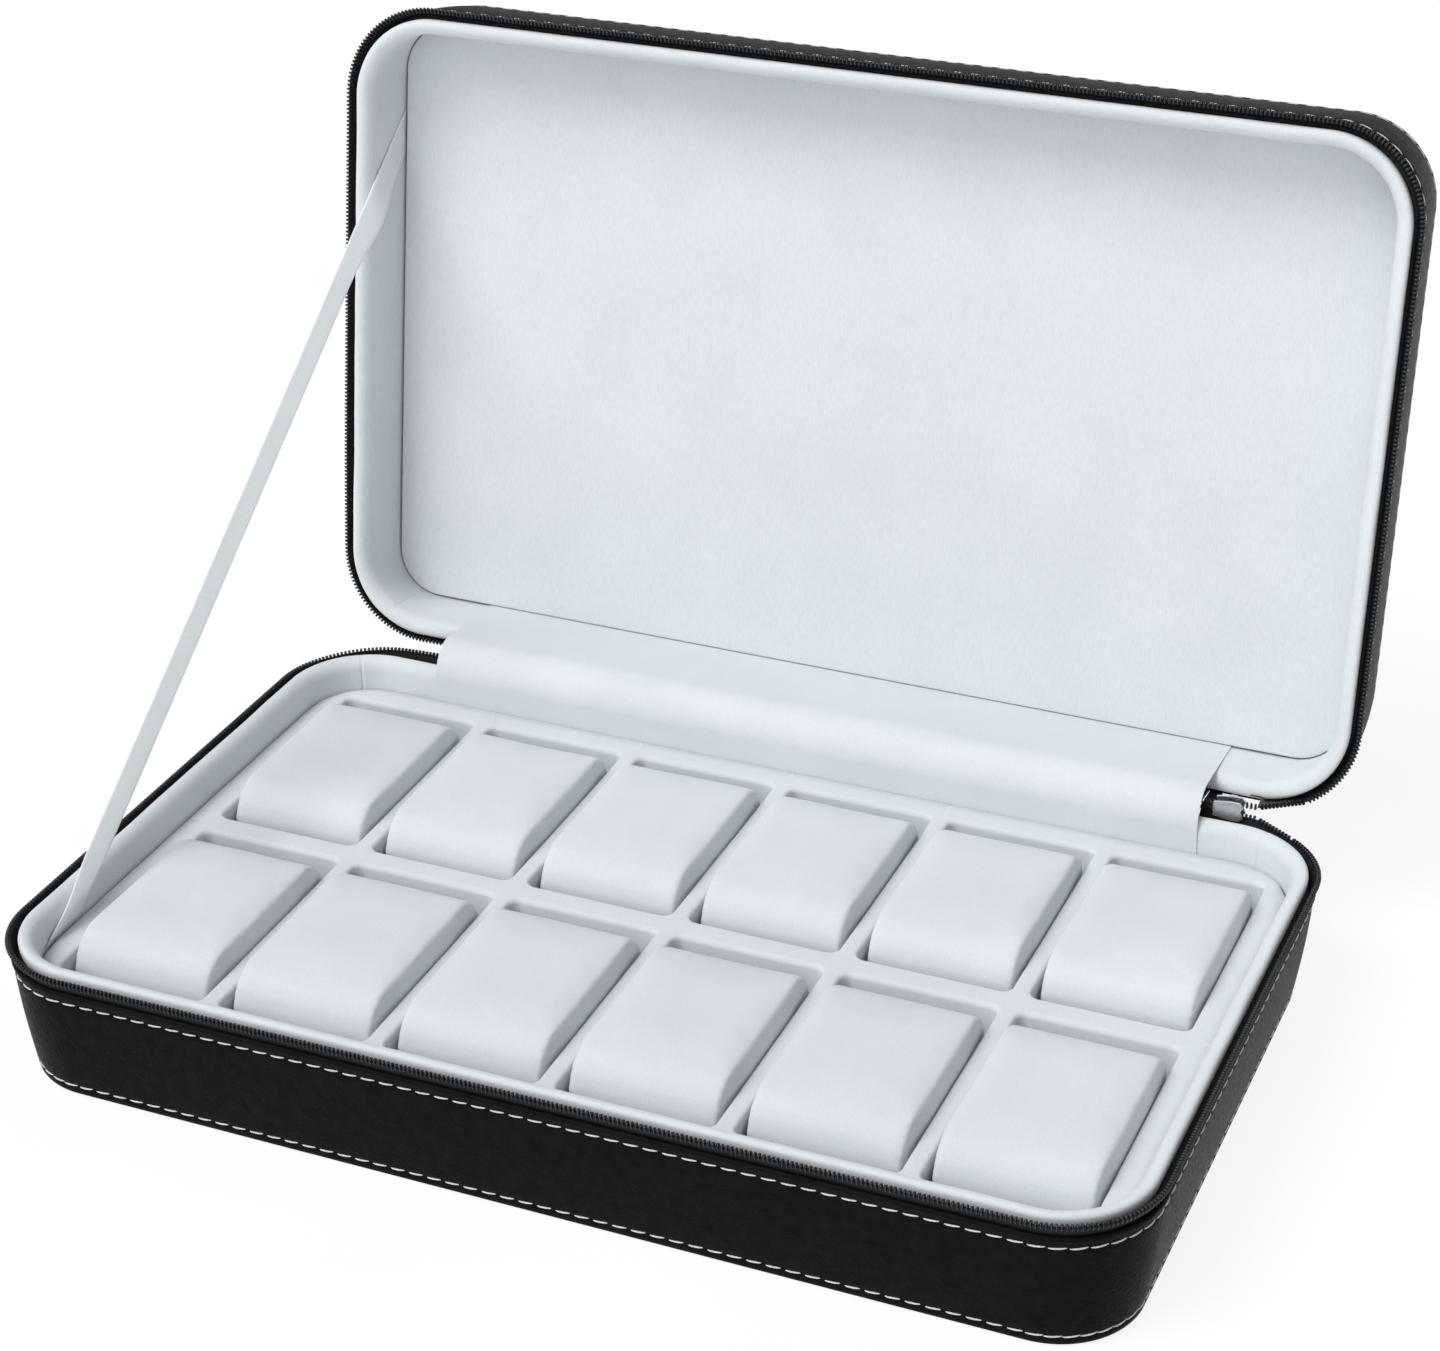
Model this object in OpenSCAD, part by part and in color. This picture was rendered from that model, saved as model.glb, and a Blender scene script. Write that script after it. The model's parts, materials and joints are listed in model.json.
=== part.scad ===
// Zip-around watch case: a leather-covered base and lid, a tray of twelve pockets with a pillow
// in each, a cloth hinge at the back, a zip on the other sides and a ribbon that holds the lid open.
// Millimetres. The origin is the centre of the underside, +X runs along the long side, +Y towards
// the hinge and +Z up. The lid's pieces are drawn shut and then swung open about the hinge line.

/* [Case] */
// Outside width, left to right
case_w = 320; // [300:1:340]
// Outside depth, front to back
case_d = 196; // [192:1:204]
// Outside height with the lid shut
case_h = 80; // [78:1:86]
// Height of the leather side of the base
base_h = 35.4; // [34:0.1:37]
// Plan radius of the outside corners
corner_r = 27; // [20:1:30]
// How far the base narrows from its rim to its underside, each side
base_taper = 4; // [2:0.5:5]
// How far the lid narrows from its rim to its top, each side
lid_taper = 3; // [2:0.5:4]
// Angle of the open lid, counted from shut
open_angle = 98; // [95:1:100]

/* [Walls] */
// Thickness of the leather cover
leather_t = 1.1; // [0.8:0.1:1.2]
// Thickness of the stiff board under the leather
board_t = 1.8; // [1.4:0.1:2]
// Distance from the leather's outside to the lining's inside face
wall_inset = 7; // [6.5:0.5:8]
// Height of the lining's rim above the leather of the base
lining_rise = 4.8; // [4.6:0.2:5.8]

/* [Tray] */
// Number of pocket columns
columns = 6; // [6:1:6]
// Distance between the pocket columns
column_pitch = 49; // [48:0.5:49.5]
// Pocket width
pocket_w = 43.8; // [42:0.2:44]
// Pocket length, front to back
pocket_l = 77.5; // [74:0.5:78]
// Wall between the front and rear rows
row_wall = 8; // [7:0.5:9]
// Corner radius of a pocket
pocket_r = 5; // [3:0.5:6]
// Height of the tray's top face
tray_top = 30.5; // [28:0.5:31]

/* [Pillows] */
// Length of a pillow, front to back
pillow_l = 67; // [58:0.5:68]
// Height of a pillow's top face
pillow_top = 37.5; // [35:0.5:38]
// Radius of a pillow's front top edge
pillow_front_r = 12; // [8:0.5:18]
// Radius of a pillow's rear top edge
pillow_rear_r = 9; // [4:0.5:12]
// Radius of a pillow's lower edges
pillow_foot_r = 9; // [6:0.5:12]
// Gap between a pillow and its pocket, each side
pillow_gap = 0.4; // [0.3:0.1:0.6]
// Thickness of a pillow's velvet cover
cover_t = 1.2; // [0.8:0.1:1.5]

/* [Lid panel] */
// Height of the padded panel's face when the lid is shut
panel_z = 65; // [62:0.5:68]

/* [Hinge] */
// Half the length of the cloth hinge
hinge_half = 120; // [100:1:125]
// How far the hinge line lies behind the back of the case
hinge_back = 3.4; // [3.2:0.1:3.6]
// Height of the hinge line
hinge_z = 35.9; // [35.5:0.1:36.2]

/* [Zip] */
// Height of the gap that the zip closes
zip_gap = 12; // [12:0.5:13]
// Width of a row of zip teeth, across the zip tape's face
coil_w = 2; // [1.8:0.1:2.2]
// Height of a row of zip teeth
coil_h = 1.8; // [1.6:0.1:1.9]
// Opening left between the two rows of teeth when the lid is shut and the zip undone
coil_split = 3.4; // [3:0.1:3.6]
// How far the zip tapes flare outwards above the leather
zip_flare = 0.8; // [0:0.1:1]
// Length of the slider
slider_l = 8.6; // [8:0.2:9]

/* [Ribbon] */
// Width of the support ribbon
ribbon_w = 10; // [8:0.5:12]
// Thickness of the support ribbon
ribbon_t = 0.6; // [0.4:0.1:0.8]

/* [Hidden] */
$fn = 48;

half_w = case_w / 2;
half_d = case_d / 2;
flat_x = half_w - corner_r;
flat_y = half_d - corner_r;
lid_z = base_h + zip_gap;
hinge_y = half_d + hinge_back;

// Layers of the wall, as distances in from the leather's outside face.
tape_in = leather_t + 0.05;
tape_t = 0.5;
board_in = tape_in + tape_t + 0.05;
lining_in = board_in + board_t + 0.1;
rim_in = lining_in + 0.3;
tray_in = wall_inset + 0.15;
soft_edge = 0.4;

// Heights in the base.
base_floor = leather_t + board_t;
tray_floor_z = base_floor + 0.1;
tray_floor_t = 1.8;
insert_z = tray_floor_z + tray_floor_t + 0.1;
pillow_z = insert_z + 0.3;
board_top = base_h - 0.5;
lining_top = base_h + lining_rise;
lining_foot = 20;
tape_foot = 26;

// Heights in the shut lid.
lid_rim = lid_z - lining_rise;
lid_board_rim = lid_z + 0.5;
lid_ceiling = case_h - leather_t - board_t;
lid_tape_end = lid_z + 9;
lid_lining_end = lid_z + 22;

// The two rows of zip teeth lie either side of the parting plane.
parting_z = base_h + zip_gap / 2;
coil_in = tape_in + tape_t / 2 - zip_flare;
base_coil_z = parting_z - (coil_split + coil_h) / 2;
lid_coil_z = parting_z + (coil_split + coil_h) / 2;
zip_start = -hinge_half;
// The teeth leave the right-hand rear corner part of the way round it, straight for the slider.
coil_arc = 58;
coil_lap_arc = 2;
coil_clear_arc = 3;

// The slider is parked at the right-hand end of the cloth hinge.
slider_x = 128.3;
slider_y = half_d + 2.2;
slider_h = 5.8;
plate_t = 0.8;
plate_gap = 2.6;
bail_y = slider_y + plate_gap / 2 + plate_t + 2.1;
bail_r = 0.5;
pull_eye_r = 0.9;
pull_l = 26;
pull_w = 7;

// Where the rows of teeth meet inside the slider, and where they are still straight behind it.
slider_travel = 3;
coil_meet_x = slider_x + 1.2;
coil_straight_x = slider_x + slider_l / 2 + slider_travel + 0.6;
coil_in_slider = coil_h / 2 + 1;

stitch_t = 0.45;
stitch_h = 0.8;
base_stitch_rows = [3, base_h - 3.5];
lid_stitch_rows = [lid_z + 3.5, case_h - 3];

rows = ["front", "rear"];

leather = [0.10, 0.10, 0.11];
board = [0.62, 0.56, 0.47];
velvet = [0.86, 0.88, 0.89];
black_zip = [0.07, 0.07, 0.08];
thread = [0.88, 0.88, 0.88];
nickel = [0.78, 0.78, 0.80];
satin = [0.90, 0.93, 0.95];
foam = [0.93, 0.91, 0.84];

// How far the sides lean in at a height.
function base_lean(z) = base_taper * (1 - z / base_h);
function lid_lean(z) = lid_taper * (z - lid_z) / (case_h - lid_z);

// A point [y, z] of the shut lid, where it is with the lid open.
function opened(p) =
    let (y = p[0] - hinge_y, z = p[1] - hinge_z)
    [
        hinge_y + y * cos(open_angle) + z * sin(open_angle),
        hinge_z - y * sin(open_angle) + z * cos(open_angle)
    ];

// Swings the shut lid's pieces open.
module swung() {
    translate([0, hinge_y, hinge_z])
        rotate([-open_angle, 0, 0])
            translate([0, -hinge_y, -hinge_z])
                children();
}

// A straight length of wall along +Y, whose outline is [distance in, height].
module wall_run(outline, run) {
    translate([0, run, 0])
        rotate([90, 0, 0])
            linear_extrude(run)
                polygon([for (p = outline) [corner_r - p[0], p[1]]]);
}

// A wall round the case. The rear side is left open from the X value of gap to the right-hand
// corner, and that corner goes only part of the way round where arc is less than 90.
module wall(outline, gap = undef, arc = 90) {
    for (k = [0:3]) {
        sx = (k == 0 || k == 3) ? 1 : -1;
        sy = (k < 2) ? 1 : -1;
        translate([sx * flat_x, sy * flat_y, 0])
            rotate(90 * k)
                rotate_extrude(angle = k == 0 ? arc : 90)
                    polygon([for (p = outline) [corner_r - p[0], p[1]]]);
    }
    translate([flat_x, -flat_y, 0])
        wall_run(outline, 2 * flat_y);
    translate([-flat_x, flat_y, 0])
        rotate(180)
            wall_run(outline, 2 * flat_y);
    translate([-flat_x, -flat_y, 0])
        rotate(270)
            wall_run(outline, 2 * flat_x);
    if (is_undef(gap))
        translate([flat_x, flat_y, 0])
            rotate(90)
                wall_run(outline, 2 * flat_x);
    else
        translate([gap, flat_y, 0])
            rotate(90)
                wall_run(outline, gap + flat_x);
}

// A rectangle with round corners, centred.
module round_rect(w, d, r) {
    square([w - 2 * r, d], center = true);
    square([w, d - 2 * r], center = true);
    for (sx = [-1, 1], sy = [-1, 1])
        translate([sx * (w / 2 - r), sy * (d / 2 - r)])
            circle(r);
}

// A flat plate of the case's plan shape, set in from the outside by a distance.
module plate(inset, z, t) {
    translate([0, 0, z])
        linear_extrude(t)
            round_rect(case_w - 2 * inset, case_d - 2 * inset, corner_r - inset);
}

// A round rod between two points.
module rod(from, to, r) {
    v = to - from;
    translate(from)
        rotate([0, acos(v[2] / norm(v)), atan2(v[1], v[0])])
            cylinder(h = norm(v), r = r);
}

// An ellipse as an outline, for a row of zip teeth.
function coil_outline(z) =
    [for (a = [0:30:330]) [coil_in + coil_w / 2 * cos(a), z + coil_h / 2 * sin(a)]];

// A point of a row of teeth on the right-hand rear corner.
function coil_point(arc, z) =
    [
        flat_x + (corner_r - coil_in) * cos(arc),
        flat_y + (corner_r - coil_in) * sin(arc),
        z
    ];

// A band of thread that stands just proud of the leather. The side leans in by low and high at
// the band's lower and upper edges.
function thread_outline(z, low, high) =
    [
        [low - 0.03, z - stitch_h / 2], [low - stitch_t, z - stitch_h / 2],
        [high - stitch_t, z + stitch_h / 2], [high - 0.03, z + stitch_h / 2]
    ];

// A row of teeth from where it meets the other row in the slider, out to a corner.
module coil_to_slider(side, end) {
    bend = [coil_straight_x, slider_y, parting_z + side * coil_in_slider];
    rod([coil_meet_x, bend[1], bend[2]], bend, coil_h / 2 - 0.05);
    rod(bend - [coil_h / 2, 0, 0], end, coil_h / 2 - 0.1);
}

// A soft strip that stands up from the base, bends over and runs on to the open lid.
module bent_strip(y_base, z_base, y_lid, z_lid, bend_r, t, half) {
    reach = (y_base - hinge_y - (y_lid - hinge_y) * cos(open_angle)) / sin(open_angle);
    corner = opened([y_lid, hinge_z + reach]);
    mid = [y_base + bend_r, corner[1] - bend_r * tan(open_angle / 2)];
    end_low = opened([y_lid + t / 2, z_lid]);
    end_high = opened([y_lid - t / 2, z_lid]);
    turn = [for (k = [0:8]) 180 - open_angle * k / 8];
    translate([-half, 0, 0])
        rotate([90, 0, 90])
            linear_extrude(2 * half)
                polygon(concat(
                    [[y_base - t / 2, z_base]],
                    [for (a = turn) mid + (bend_r + t / 2) * [cos(a), sin(a)]],
                    [end_high, end_low],
                    [for (k = [8:-1:0]) mid + (bend_r - t / 2) * [cos(turn[k]), sin(turn[k])]],
                    [[y_base + t / 2, z_base]]
                ));
}

// ---- Base ----

module base_leather_band() {
    color(leather)
        wall([
            [base_lean(0) + soft_edge, 0],
            [base_lean(soft_edge), soft_edge],
            [base_lean(base_h - soft_edge), base_h - soft_edge],
            [soft_edge, base_h],
            [leather_t, base_h],
            [base_lean(0) + leather_t, 0]
        ]);
}

module base_bottom_panel() {
    color(leather)
        plate(base_taper + leather_t + 0.05, 0, leather_t);
}

module base_board_shell() {
    foot = base_lean(leather_t) + board_in;
    color(board) {
        wall([
            [foot, leather_t],
            [base_lean(board_top) + board_in, board_top],
            [base_lean(board_top) + board_in + board_t, board_top],
            [foot + board_t, leather_t]
        ]);
        plate(foot, leather_t, board_t);
    }
}

module base_lining_wall() {
    color(velvet)
        wall([
            [base_lean(lining_foot) + lining_in, lining_foot],
            [base_lean(board_top) + lining_in, board_top],
            [rim_in, board_top + 0.3],
            [rim_in, lining_top - 1.4],
            [rim_in + 1.2, lining_top],
            [wall_inset - 1, lining_top],
            [wall_inset, lining_top - 1],
            [wall_inset, lining_foot]
        ]);
}

module tray_floor_board() {
    color(board)
        plate(tray_in + 0.1, tray_floor_z, tray_floor_t);
}

// Puts its children at a pocket's centre.
module at_pocket(row, i) {
    x = (i - (columns + 1) / 2) * column_pitch;
    y = (row == "rear" ? 1 : -1) * (row_wall + pocket_l) / 2;
    translate([x, y, 0])
        children();
}

module tray_insert() {
    color(velvet)
        difference() {
            plate(tray_in, insert_z, tray_top - insert_z);
            for (row = rows, i = [1:columns])
                at_pocket(row, i)
                    translate([0, 0, insert_z - 1])
                        linear_extrude(tray_top - insert_z + 2)
                            round_rect(pocket_w, pocket_l, pocket_r);
        }
}

module base_zip_tape() {
    top = base_coil_z - coil_h / 2;
    color(black_zip)
        wall([
            [base_lean(tape_foot) + tape_in, tape_foot],
            [tape_in, base_h],
            [coil_in - tape_t / 2, top],
            [coil_in + tape_t / 2, top],
            [tape_in + tape_t, base_h],
            [base_lean(tape_foot) + tape_in + tape_t, tape_foot]
        ], zip_start);
}

// The base's row of teeth, with the short run from the corner to the slider.
module base_zip_coil() {
    color(black_zip) {
        wall(coil_outline(base_coil_z), zip_start, coil_arc);
        coil_to_slider(-1, coil_point(coil_arc - coil_lap_arc, base_coil_z));
    }
}

module base_stitching() {
    color(thread)
        for (z = base_stitch_rows)
            wall(thread_outline(z, base_lean(z - stitch_h / 2), base_lean(z + stitch_h / 2)));
}

// ---- Lid, drawn shut ----

module lid_leather_band() {
    color(leather)
        swung()
            wall([
                [soft_edge, lid_z],
                [lid_lean(lid_z + soft_edge), lid_z + soft_edge],
                [lid_lean(case_h - soft_edge), case_h - soft_edge],
                [lid_taper + soft_edge, case_h],
                [lid_taper + leather_t, case_h],
                [leather_t, lid_z]
            ]);
}

module lid_top_panel() {
    color(leather)
        swung()
            plate(lid_taper + leather_t + 0.05, case_h - leather_t, leather_t);
}

module lid_board_shell() {
    head = lid_lean(case_h - leather_t) + board_in;
    color(board)
        swung() {
            wall([
                [lid_lean(lid_board_rim) + board_in, lid_board_rim],
                [head, case_h - leather_t],
                [head + board_t, case_h - leather_t],
                [lid_lean(lid_board_rim) + board_in + board_t, lid_board_rim]
            ]);
            plate(head, lid_ceiling, board_t);
        }
}

module lid_lining_wall() {
    color(velvet)
        swung()
            wall([
                [lid_lean(lid_lining_end) + lining_in, lid_lining_end],
                [lid_lean(lid_board_rim) + lining_in, lid_board_rim],
                [rim_in, lid_board_rim - 0.3],
                [rim_in, lid_rim + 1.4],
                [rim_in + 1.2, lid_rim],
                [wall_inset - 1, lid_rim],
                [wall_inset, lid_rim + 1],
                [wall_inset, lid_lining_end]
            ]);
}

module lid_padded_panel() {
    color(velvet)
        swung()
            plate(tray_in, panel_z, lid_ceiling - panel_z - 0.1);
}

module lid_zip_tape() {
    foot = lid_coil_z + coil_h / 2;
    lean = lid_lean(lid_tape_end);
    color(black_zip)
        swung()
            wall([
                [lean + tape_in, lid_tape_end],
                [tape_in, lid_z],
                [coil_in - tape_t / 2, foot],
                [coil_in + tape_t / 2, foot],
                [tape_in + tape_t, lid_z],
                [lean + tape_in + tape_t, lid_tape_end]
            ], zip_start);
}

module lid_zip_coil() {
    color(black_zip)
        swung()
            wall(coil_outline(lid_coil_z), zip_start, coil_arc);
}

module lid_stitching() {
    color(thread)
        swung()
            for (z = lid_stitch_rows)
                wall(thread_outline(z, lid_lean(z - stitch_h / 2), lid_lean(z + stitch_h / 2)));
}

// ---- Hinge, zip end and ribbon ----

module hinge_spine() {
    y = half_d - leather_t / 2;
    color(leather)
        bent_strip(y, base_h, y, lid_z - 0.3, 3, leather_t, hinge_half - 1);
}

module hinge_flap() {
    t = 1;
    y = half_d - wall_inset - 0.15 - t / 2;
    color(velvet)
        bent_strip(y, tray_top + 0.2, y - 0.15, panel_z - 0.5, 7, t, hinge_half);
}

// The closed end of the zip beside the hinge, and the lid's teeth on their way to the slider.
module zip_chain_end() {
    start = hinge_half - 0.3;
    shut_end = coil_point(coil_arc + coil_clear_arc, lid_coil_z);
    end = opened([shut_end[1], shut_end[2]]);
    near_end = coil_meet_x - 0.4;
    color(black_zip) {
        translate([start, slider_y - coil_w / 2, parting_z - coil_h])
            cube([near_end - start, coil_w, 2 * coil_h]);
        coil_to_slider(1, [shut_end[0], end[0], end[1]]);
    }
}

module slider_plate(y) {
    nose = slider_l / 2;
    top = slider_h / 2;
    translate([slider_x, y + plate_t, parting_z])
        rotate([90, 0, 0])
            linear_extrude(plate_t)
                polygon([
                    [-nose, -top * 0.75], [0, -top], [nose - 1.2, -top], [nose, -top * 0.6],
                    [nose - 1, 0],
                    [nose, top * 0.6], [nose - 1.2, top], [0, top], [-nose, top * 0.75]
                ]);
}

module zip_slider() {
    inner = slider_y - plate_gap / 2 - plate_t;
    outer = slider_y + plate_gap / 2;
    color(nickel) {
        slider_plate(inner);
        slider_plate(outer);
        // The neck that parts the two rows of teeth.
        translate([slider_x + slider_l / 2 - 2.2, inner + plate_t / 2, parting_z])
            rotate([-90, 0, 0])
                cylinder(h = plate_gap + plate_t, r = 0.8);
        // The two legs and the bar that the pull hangs on.
        for (side = [-1, 1])
            translate([slider_x + side * 1.6 - 0.4, outer + plate_t / 2, parting_z - 0.7])
                cube([0.8, bail_y + 0.7 - outer - plate_t / 2, 1.4]);
        rod([slider_x - 1.6, bail_y, parting_z], [slider_x + 1.6, bail_y, parting_z], bail_r);
    }
}

module zip_pull() {
    eye_w = 1.6;
    color(nickel)
        difference() {
            union() {
                translate([slider_x - eye_w / 2, bail_y, parting_z])
                    rotate([0, 90, 0])
                        cylinder(h = eye_w, r = pull_eye_r + 0.8);
                translate([slider_x, bail_y + 0.6, parting_z])
                    rotate([90, 0, 0])
                        linear_extrude(1.2)
                            polygon([
                                [-eye_w / 2, -1.2], [-eye_w / 2, -4], [-pull_w / 2, -8],
                                [-pull_w / 2, 1.5 - pull_l], [-pull_w / 4, -pull_l],
                                [pull_w / 4, -pull_l], [pull_w / 2, 1.5 - pull_l],
                                [pull_w / 2, -8], [eye_w / 2, -4], [eye_w / 2, -1.2]
                            ]);
            }
            translate([slider_x - pull_w, bail_y, parting_z])
                rotate([0, 90, 0])
                    cylinder(h = 2 * pull_w, r = pull_eye_r);
        }
}

// The ribbon lies flat against the left wall, from the tray's edge up to the open lid's panel.
module support_ribbon() {
    foot = [-57.5, tray_top + 0.3];
    head = opened([-50, panel_z - 0.4]);
    up_panel = opened([-51, panel_z - 0.4]) - head;
    run = (head - foot) / norm(head - foot);
    color(satin)
        translate([-half_w + wall_inset + 0.3, 0, 0])
            rotate([90, 0, 90])
                linear_extrude(ribbon_t)
                    polygon([
                        foot, head, head + up_panel * ribbon_w / cross(run, up_panel),
                        foot - [ribbon_w / run[1], 0]
                    ]);
}

// ---- Pillows ----

// What one rounded corner takes off a square one. The signs say which corner it is.
module corner_waste(at, sign, r) {
    translate(at - r * sign)
        difference() {
            translate([sign[0] < 0 ? -r - 1 : 0, sign[1] < 0 ? -r - 1 : 0])
                square(r + 1);
            circle(r);
        }
}

// A bar along X, centred on X and Y and standing on z = 0, whose section is a pillow's side view
// made smaller all round by inset.
module pillow_bar(w, inset) {
    l = pillow_l - 2 * inset;
    h = pillow_top - pillow_z - 2 * inset;
    translate([-w / 2, 0, inset])
        rotate([90, 0, 90])
            linear_extrude(w)
                difference() {
                    translate([-l / 2, 0])
                        square([l, h]);
                    corner_waste([-l / 2, 0], [-1, -1], pillow_foot_r - inset);
                    corner_waste([l / 2, 0], [1, -1], pillow_foot_r - inset);
                    corner_waste([l / 2, h], [1, 1], pillow_rear_r - inset);
                    corner_waste([-l / 2, h], [-1, 1], pillow_front_r - inset);
                }
}

// The window in the underside of the cover, where the cloth's ends leave the core bare.
module pillow_window() {
    w = pocket_w - 14;
    l = pillow_l - 36;
    translate([-w / 2, -l / 2, -1])
        cube([w, l, cover_t + 2]);
}

module pillow_cover(row, i) {
    w = pocket_w - 2 * pillow_gap;
    color(velvet)
        at_pocket(row, i)
            translate([0, 0, pillow_z])
                difference() {
                    pillow_bar(w, 0);
                    pillow_bar(w - 2 * cover_t, cover_t);
                    pillow_window();
                }
}

module pillow_core(row, i) {
    inset = cover_t + 0.05;
    color(foam)
        at_pocket(row, i)
            translate([0, 0, pillow_z])
                pillow_bar(pocket_w - 2 * pillow_gap - 2 * inset, inset);
}

base_leather_band();
base_bottom_panel();
base_board_shell();
base_lining_wall();
tray_floor_board();
tray_insert();
base_zip_tape();
base_zip_coil();
base_stitching();
lid_leather_band();
lid_top_panel();
lid_board_shell();
lid_lining_wall();
lid_padded_panel();
lid_zip_tape();
lid_zip_coil();
lid_stitching();
hinge_spine();
hinge_flap();
zip_chain_end();
zip_slider();
zip_pull();
support_ribbon();
for (row = rows, i = [1:columns]) {
    pillow_cover(row, i);
    pillow_core(row, i);
}
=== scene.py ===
"""Looks for the zip-around watch case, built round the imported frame. Metres, in the frame's axes.

The case's walls are sweeps: a profile of (distance in from the leather's outside, height) is
carried round the outline. The lid's pieces are made shut and swung open about the hinge line.
"""

import json
import math

import bmesh
import bpy
import numpy as np
from mathutils import Matrix, Vector, noise


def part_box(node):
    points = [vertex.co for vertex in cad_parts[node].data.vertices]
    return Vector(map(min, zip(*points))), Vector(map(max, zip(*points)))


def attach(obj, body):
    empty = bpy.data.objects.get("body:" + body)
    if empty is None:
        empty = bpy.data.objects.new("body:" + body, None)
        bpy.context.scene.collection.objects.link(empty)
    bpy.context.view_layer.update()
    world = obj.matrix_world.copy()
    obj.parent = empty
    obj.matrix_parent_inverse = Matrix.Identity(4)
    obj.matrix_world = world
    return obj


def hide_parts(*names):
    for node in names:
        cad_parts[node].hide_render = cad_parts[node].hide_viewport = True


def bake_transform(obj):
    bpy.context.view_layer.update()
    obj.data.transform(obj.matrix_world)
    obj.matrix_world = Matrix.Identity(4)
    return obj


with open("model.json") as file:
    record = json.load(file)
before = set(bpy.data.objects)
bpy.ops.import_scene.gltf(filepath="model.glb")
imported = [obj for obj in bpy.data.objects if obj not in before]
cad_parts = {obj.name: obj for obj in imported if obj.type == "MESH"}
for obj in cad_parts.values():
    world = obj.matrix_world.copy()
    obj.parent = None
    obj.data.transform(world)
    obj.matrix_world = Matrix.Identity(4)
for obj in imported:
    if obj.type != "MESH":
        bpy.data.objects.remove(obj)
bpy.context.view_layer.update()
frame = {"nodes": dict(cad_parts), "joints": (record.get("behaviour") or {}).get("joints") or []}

MM = 0.001

# ---- Driving dimensions, from the frame where it holds them ----

HALF_W, HALF_D, BASE_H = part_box("base_leather_band")[1]
TRAY_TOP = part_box("tray_insert")[1].z
TRAY_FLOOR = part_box("tray_floor_board")[1].z
RIBBON_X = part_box("support_ribbon")[0].x
SLIDER_LOW, SLIDER_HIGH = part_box("zip_slider")
lid_hinge = next(j for j in frame["joints"] if j["name"] == "lid_hinge")
HINGE_Y, HINGE_Z = lid_hinge["pos_m"][1:]
OPEN_ANGLE = -math.radians(min(lid_hinge["range_deg"]))

CASE_H = 80 * MM
CORNER_R = 27 * MM
BASE_TAPER = 4 * MM
LID_TAPER = 3 * MM
ZIP_GAP = 12 * MM
LEATHER_T = 1.1 * MM
TAPE_IN = 1.15 * MM
TAPE_T = 0.5 * MM
COIL_IN = -0.3 * MM
COIL_SPLIT = 3.4 * MM
COIL_H = 1.8 * MM
TOOTH_PITCH = 1.2 * MM
LINING_RISE = 4.7 * MM
WALL_INSET = 7 * MM
PANEL_Z = 65 * MM
PANEL_CORNER_R = 14 * MM
PANEL_GAP = 0.8 * MM
HINGE_HALF = 120 * MM
STITCH_PITCH = 5.2 * MM
STITCH_L = 4.6 * MM
COLUMNS = 6
COLUMN_PITCH = 49 * MM
POCKET_W = 43.8 * MM
POCKET_L = 77.5 * MM
POCKET_R = 3 * MM
ROW_WALL = 8 * MM
RIBBON_W = 10 * MM
COIL_ARC = 58
HINGE_RISE, HINGE_RISE_RUN = 2.2 * MM, 42 * MM
LID_TUCK, LID_TUCK_RUN = 1.1 * MM, 100 * MM

LID_Z = BASE_H + ZIP_GAP
PARTING_Z = BASE_H + ZIP_GAP / 2
FLAT_X = HALF_W - CORNER_R
FLAT_Y = HALF_D - CORNER_R
BASE_COIL_Z = PARTING_Z - (COIL_SPLIT + COIL_H) / 2
LID_COIL_Z = PARTING_Z + (COIL_SPLIT + COIL_H) / 2
SLIDER_Y = HALF_D + 2.2 * MM
COIL_MEET_X = (SLIDER_LOW.x + SLIDER_HIGH.x) / 2 + 1.2 * MM
COIL_STRAIGHT_X = SLIDER_HIGH.x + 3.6 * MM
COIL_IN_SLIDER = COIL_H / 2 + 1 * MM

SWING = (
    Matrix.Translation((0, HINGE_Y, HINGE_Z))
    @ Matrix.Rotation(-OPEN_ANGLE, 4, "X")
    @ Matrix.Translation((0, -HINGE_Y, -HINGE_Z))
)


def swing(points):
    """Points of the shut lid, where they are with the lid open."""
    m = np.array(SWING)
    return np.asarray(points, float) @ m[:3, :3].T + m[:3, 3]


def turn(vectors):
    """Directions in the shut lid, as they are with the lid open."""
    return np.asarray(vectors, float) @ np.array(SWING)[:3, :3].T


# ---- The case's outline ----

def make_segments():
    """The outline's lines and arcs, anticlockwise from the hinge's left-hand end."""
    corners = [(-FLAT_X, FLAT_Y), (-FLAT_X, -FLAT_Y), (FLAT_X, -FLAT_Y), (FLAT_X, FLAT_Y)]
    here = (-HINGE_HALF, HALF_D)
    made = []
    for k, centre in enumerate(corners):
        a0 = math.radians(90 + 90 * k)
        normal = (math.cos(a0), math.sin(a0))
        to = (centre[0] + CORNER_R * normal[0], centre[1] + CORNER_R * normal[1])
        made.append(("line", here, to, normal))
        made.append(("arc", centre, a0, math.pi / 2))
        a1 = a0 + math.pi / 2
        here = (centre[0] + CORNER_R * math.cos(a1), centre[1] + CORNER_R * math.sin(a1))
    made.append(("line", here, (-HINGE_HALF, HALF_D), (0, 1)))
    return made


SEGMENTS = make_segments()
LENGTHS = [
    math.dist(s[1], s[2]) if s[0] == "line" else CORNER_R * s[3] for s in SEGMENTS
]
BREAKS = [sum(LENGTHS[:k]) for k in range(len(LENGTHS) + 1)]
AROUND = BREAKS[-1]
ZIP_END = BREAKS[7] + CORNER_R * math.radians(COIL_ARC)


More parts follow.
